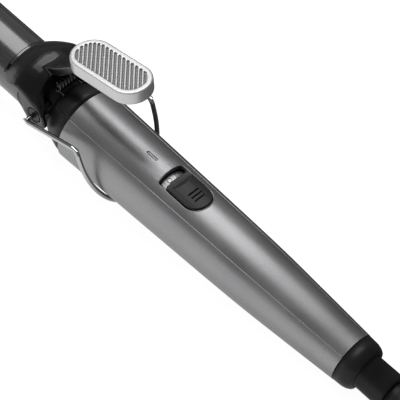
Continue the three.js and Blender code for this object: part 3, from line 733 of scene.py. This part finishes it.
def shade_round(mesh, round_above=0.9):
    """Points the normals of a tube's round faces straight away from the iron's own axis."""
    normals = [None] * len(mesh.loops)
    for face in mesh.polygons:
        for loop in face.loop_indices:
            offset = mesh.vertices[mesh.loops[loop].vertex_index].co - ORIGIN
            away = (offset - ALONG * offset.dot(ALONG)).normalized()
            lean = face.normal.dot(away)
            is_round = abs(lean) > round_above
            normals[loop] = away * math.copysign(1, lean) if is_round else face.normal.copy()
    mesh.normals_split_custom_set(normals)


def make_turned():
    """Round mouldings and tubes: their CAD shape, with its faces joined so that they are smooth."""
    for node, name, finish, slot in TURNED:
        piece = settle(merged_copy(node), name, FINISH[finish])
        if node in ("clip", "barrel_tube"):
            shade_round(piece.data)
        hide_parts(node)
        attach(piece, NODES[node]["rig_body"])


make_turned()

# ---- Clip lever: hood, thumb pad and spring ------------------------------------------------

PAD_CENTRE = place(10.9, 0, 48.95)
PAD_LEAN = math.radians(12.5)
PAD_NORMAL = turn(-math.sin(PAD_LEAN), 0, math.cos(PAD_LEAN))
RIB_TOP, GROOVE_FLOOR = 0.15, 0.9  # below the pad's rim
UNSHADED_TIP = 0.1                    # how much of a rib, below its top, stays free of the painted shade
FLOOR_SLACK = 0.25                 # how far under the grooves' floor a point still counts
FACES_DOWN = -0.3                  # a face that points further down than this isn't in the field
FIELD_R = 7.1                      # half the ribbed field's width
FIELD_STRAIGHT = 11.25             # and half the length of its straight run
SPRING_WIRE_R = 0.5


def mark_grooves(mesh):
    """Stores how deep each point lies in the ribbed field of the pad, for the painted shade in its
    grooves.
    """
    depths = []
    for vertex in mesh.vertices:
        below = (PAD_CENTRE - vertex.co).dot(PAD_NORMAL) / MM
        facing = vertex.normal.dot(PAD_NORMAL)
        in_field = below < GROOVE_FLOOR + FLOOR_SLACK and facing > FACES_DOWN
        depth = (below - RIB_TOP - UNSHADED_TIP) / (GROOVE_FLOOR - RIB_TOP)
        depths.append(min(1, max(0, depth)) if in_field and on_ribs(vertex.co) else 0)
    mesh.attributes.new(GROOVE_SHADE, "FLOAT", "POINT").data.foreach_set("value", depths)


def on_ribs(point):
    """Whether a point is inside the pad's rim."""
    offset = point - PAD_CENTRE
    along = abs(offset.dot(PAD_NORMAL.cross(ACROSS))) / MM - FIELD_STRAIGHT
    return math.hypot(max(0, along), offset.dot(ACROSS) / MM) < FIELD_R


def make_lever():
    """The hood over the hinge and the pad for the thumb, which move with the clip."""
    hood = rounded("clip_hood", "clip_cowl", 0.34, 24, FINISH["gloss"])
    pad = rounded("thumb_pad", "ribbed_thumb_pad", 0.2, 3, FINISH["pearl"])
    mark_grooves(pad.data)
    for piece, node, slot in ((hood, "clip_hood", "gloss_black"), (pad, "thumb_pad", "pad_silver")):
        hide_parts(node)
        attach(piece, "clip_lever")


def spring_line():
    """Six turns on an axis across the iron, with a leg at each end."""
    radius, turns, pitch, centre_x, centre_z = 1.8, 6, 1.6, HINGE_X + 0.3, 15.2
    steps = 24
    coil = []
    for i in range(turns * steps + 1):
        angle = 2 * math.pi * i / steps - math.pi / 2
        y = (i / steps - turns / 2) * pitch
        coil.append((centre_x + radius * math.cos(angle), y, centre_z + radius * math.sin(angle)))
    side = coil[0][1]
    lead = [(-10, side, 13.9), (-12.6, side, 14.1)]
    tail = [(-12.4, -side, 14.3), (-9.5, -side, 14.9)]
    return [place(*p) for p in (*lead, *coil, *tail)]


def make_spring():
    """The spring under the hood, which keeps its shape and stays with the iron."""
    spring = swept("closing_spring", [spring_line()], SPRING_WIRE_R * MM, FINISH["spring"], 12)
    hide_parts("clip_spring")
    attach(spring, "iron")


make_lever()
make_spring()

# ---- Wire stand ----------------------------------------------------------------------------

WIRE_R = 1.05
WIRE_END_Y = 13.2                  # how far from the middle the wire ends in its pin
STAND_SIDE = 22                    # and how far out it turns to run back
BEND_X, BEND_Y, BEND_Z = 15.3, 21.2, 15
LOOP_DIP = math.radians(65.5)      # how steeply the loop hangs from the bend
LOOP_START, LOOP_Z = 4.5, -18.7


def stand_line():
    """Half the wire, from its end in the hinge to the middle of the loop, and its mirror image."""
    corner = 1.6
    drop = (BEND_Z - LOOP_Z) / math.sin(LOOP_DIP)

    def on_loop(length, y):
        return (BEND_X + length * math.cos(LOOP_DIP), y, BEND_Z - length * math.sin(LOOP_DIP))

    half = [
        (HINGE_X, WIRE_END_Y, HINGE_Z), (HINGE_X, STAND_SIDE - corner, HINGE_Z),
        (HINGE_X + 0.45, STAND_SIDE - 0.45, HINGE_Z + 0.1),
        (HINGE_X + corner, STAND_SIDE, HINGE_Z + 0.4),
        (BEND_X - 2.4, BEND_Y, BEND_Z - 0.3), (BEND_X - 0.6, BEND_Y, BEND_Z - 0.5),
        on_loop(2.2, BEND_Y), on_loop(LOOP_START, BEND_Y),
    ]
    parts = 9
    for i in range(1, parts + 1):
        angle = i / parts * math.pi / 2
        length = LOOP_START + (drop - LOOP_START) * math.sin(angle)
        half.append(on_loop(length, BEND_Y * math.cos(angle)))
    mirrored = [(x, -y, z) for x, y, z in reversed(half[:-1])]
    return smooth_line([place(*p) for p in half + mirrored], 0.6 * MM)


def make_stand():
    """The wire that the iron rests on."""
    stand = swept("stand_wire", [stand_line()], WIRE_R * MM, FINISH["chrome"], 20)
    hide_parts("stand")
    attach(stand, "stand")


make_stand()

# ---- Rolled edges of the shells, and the mark on the switch plate --------------------------

PARTING = math.radians(40)         # the shells part this far round from the top
EDGE_TURN = math.radians(0.7)      # and the rolled edge lies this much further round
SHELL_START, SHELL_END = 0.5, 152.2
EDGE_R = 0.26
EDGE_SINK = (0.1, 0.2)             # how deep an edge's centre lies, at the front and at the rear
SINK_RUN = 90                      # how far back it reaches its full depth
RIM_SINK = 0.08                    # the same for the edge round the switch opening
OPENING_FRONT, OPENING_REAR, OPENING_HALF = 47.9, 71.1, 7.1
MARK_X, MARK_Y, MARK_R, MARK_LINE = 50.2, -1.6, 1.05, 0.15


def skin_of(node):
    """A CAD node's surface, ready to have rays cast at it."""
    mesh = NODES[node].data
    return BVHTree.FromPolygons([v.co for v in mesh.vertices], [p.vertices for p in mesh.polygons])


LOWER_SKIN, PLATE_SKIN = skin_of("handle_lower_shell"), skin_of("switch_label_plate")
PLAIN_SIDE = (-34, 20)             # a point well outside the handle, across and up


def handle_radius(x):
    """The handle's radius at x, measured on the plain side of its lower shell."""
    start, centre = place(x, *PLAIN_SIDE), place(x, 0, 0)
    return (LOWER_SKIN.ray_cast(start, (centre - start).normalized())[0] - centre).length / MM


def parting_line(side):
    """The lower shell's rolled edge on one side, which sinks into the wall towards the rear."""
    angle, parts, points = PARTING + EDGE_TURN, 76, []
    for i in range(parts + 1):
        x = SHELL_START + (SHELL_END - SHELL_START) * i / parts
        sink = EDGE_SINK[0] + (EDGE_SINK[1] - EDGE_SINK[0]) * min(1, x / SINK_RUN)
        radius = handle_radius(x) - sink
        points.append(place(x, side * radius * math.sin(angle), radius * math.cos(angle)))
    return points


def opening_line():
    """The rolled edge round the switch opening: almost straight in front, a half circle behind."""
    half, front, centre = OPENING_HALF, OPENING_FRONT, OPENING_REAR - OPENING_HALF
    side_start, bow, count, parts = front + 1.8, 0.45, int(centre - front - 1), 24
    side = [side_start + i for i in range(count)]
    corner = [(front + 0.8, half - 0.35), (front + bow, half - 1.1)]
    flat = [(x, -half) for x in side]
    flat += [(centre + half * math.sin(a), -half * math.cos(a))
             for a in (math.pi * i / parts for i in range(parts + 1))]
    flat += [(x, half) for x in reversed(side)] + corner
    flat += [(front + bow * (y / (half - 1)) ** 2 - 0.02, y) for y in range(5, -6, -1)]
    flat += [(x, -y) for x, y in reversed(corner)] + [(side_start, -half)]
    return [place(x, y, math.sqrt((handle_radius(x) - RIM_SINK) ** 2 - y ** 2)) for x, y in flat]


def make_edges():
    """Thin rolled edges where the shells meet and round the switch opening."""
    for name, lines in (("parting_edges", [parting_line(-1), parting_line(1)]),
                        ("switch_rim", [opening_line()])):
        edge = swept(name, lines, EDGE_R * MM, FINISH["silver"], 10)
        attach(edge, "iron")


def make_mark():
    """A plain ring printed on the switch plate, for off."""
    ring, parts = [], 32
    for i in range(parts + 1):
        angle = 2 * math.pi * i / parts
        above = place(MARK_X + MARK_R * math.cos(angle), MARK_Y + MARK_R * math.sin(angle), 30)
        ring.append(PLATE_SKIN.ray_cast(above, -UP)[0])
    mark = swept("off_ring", [ring], MARK_LINE * MM, FINISH["marks"], 6)
    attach(mark, "iron")


make_edges()
make_mark()

# ---- Switch --------------------------------------------------------------------------------


def make_switch():
    """The slider's button."""
    slider = rounded("switch_slider", "slide_button", 0.16, 4, FINISH["grey"])
    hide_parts("switch_slider")
    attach(slider, "switch")


make_switch()

# ---- Floor and lights ----------------------------------------------------------------------

FLOOR_HALF = 8                     # metres
FLOOR_GAP = 0.0005                 # the sheet lies this far under the iron, in metres
GLOW_FROM, GLOW_TO = -0.045, 0.01  # the glow falls off between these places along Y, in metres
NEAR_GLOW, FAR_GLOW = 1.7, 0.12    # what the floor gives back to the iron, before and behind it
SEEN_GLOW, SEEN_MATT = 0.94, 0.2   # and how it looks: its own glow, and how pale it is
WALL_GLOW = 0.35


def make_floor():
    """A plain white sheet under everything. The iron picks up less of it behind than in front."""
    mesh = bpy.data.meshes.new("floor_sheet")
    corners = [(x * FLOOR_HALF, y * FLOOR_HALF, 0) for x, y in ((-1, -1), (1, -1), (1, 1), (-1, 1))]
    mesh.from_pydata(corners, [], [(0, 1, 2, 3)])
    material = bpy.data.materials.new("white_sheet")
    material.use_nodes = True
    maker = NodeMaker(material.node_tree)
    maker.tree.nodes.remove(maker.tree.nodes["Principled BSDF"])
    where = maker.node("ShaderNodeTexCoord").outputs["Object"]
    side = maker.node("ShaderNodeSeparateXYZ", {}, {0: where}).outputs["Y"]
    glow = maker.spread(side, GLOW_FROM, GLOW_TO, NEAR_GLOW, FAR_GLOW)
    given = maker.node("ShaderNodeEmission", {}, {"Strength": glow})
    matt = maker.node("ShaderNodeBsdfDiffuse", {}, {"Color": (*shade(SEEN_MATT), 1)})
    even = maker.node("ShaderNodeEmission", {}, {"Strength": SEEN_GLOW})
    seen = maker.node("ShaderNodeAddShader", {}, {0: matt.outputs[0], 1: even.outputs[0]})
    sight = maker.node("ShaderNodeLightPath").outputs["Is Camera Ray"]
    both = maker.node("ShaderNodeMixShader", {}, {
        0: sight, 1: given.outputs[0], 2: seen.outputs[0]})
    maker.tree.links.new(both.outputs[0], maker.tree.nodes["Material Output"].inputs["Surface"])
    mesh.materials.append(material)
    floor = add_object("floor_sheet", mesh)
    floor.location.z = -FLOOR_GAP


def soft_box(name, centre, target, width, height, radiance):
    """A flat soft box that faces its target; its power follows from how bright its face is."""
    light = bpy.data.lights.new(name, "AREA")
    light.shape = "RECTANGLE"
    light.size, light.size_y = width, height
    light.energy = radiance * math.pi * width * height
    lamp = bpy.data.objects.new(name, light)
    bpy.context.collection.objects.link(lamp)
    lamp.location = centre
    lamp.rotation_euler = (Vector(target) - Vector(centre)).to_track_quat("-Z", "Y").to_euler()


def make_lights():
    """A big soft box over the barrel end, a low one in front, and dim walls all round."""
    world = bpy.data.worlds.new("studio")
    world.use_nodes = True
    walls = world.node_tree.nodes["Background"]
    walls.inputs["Color"].default_value = (1, 1, 1, 1)
    walls.inputs["Strength"].default_value = WALL_GLOW
    bpy.context.scene.world = world
    bpy.context.scene.view_settings.view_transform = "Standard"
    soft_box("top_box", (-0.44, 0.22, 0.85), (-0.44, 0, 0), 0.84, 0.8, 5.5)
    soft_box("front_box", (-0.1, -0.8, 0.14), (-0.1, 0, 0.05), 1.6, 0.22, 1.6)


make_floor()
make_lights()
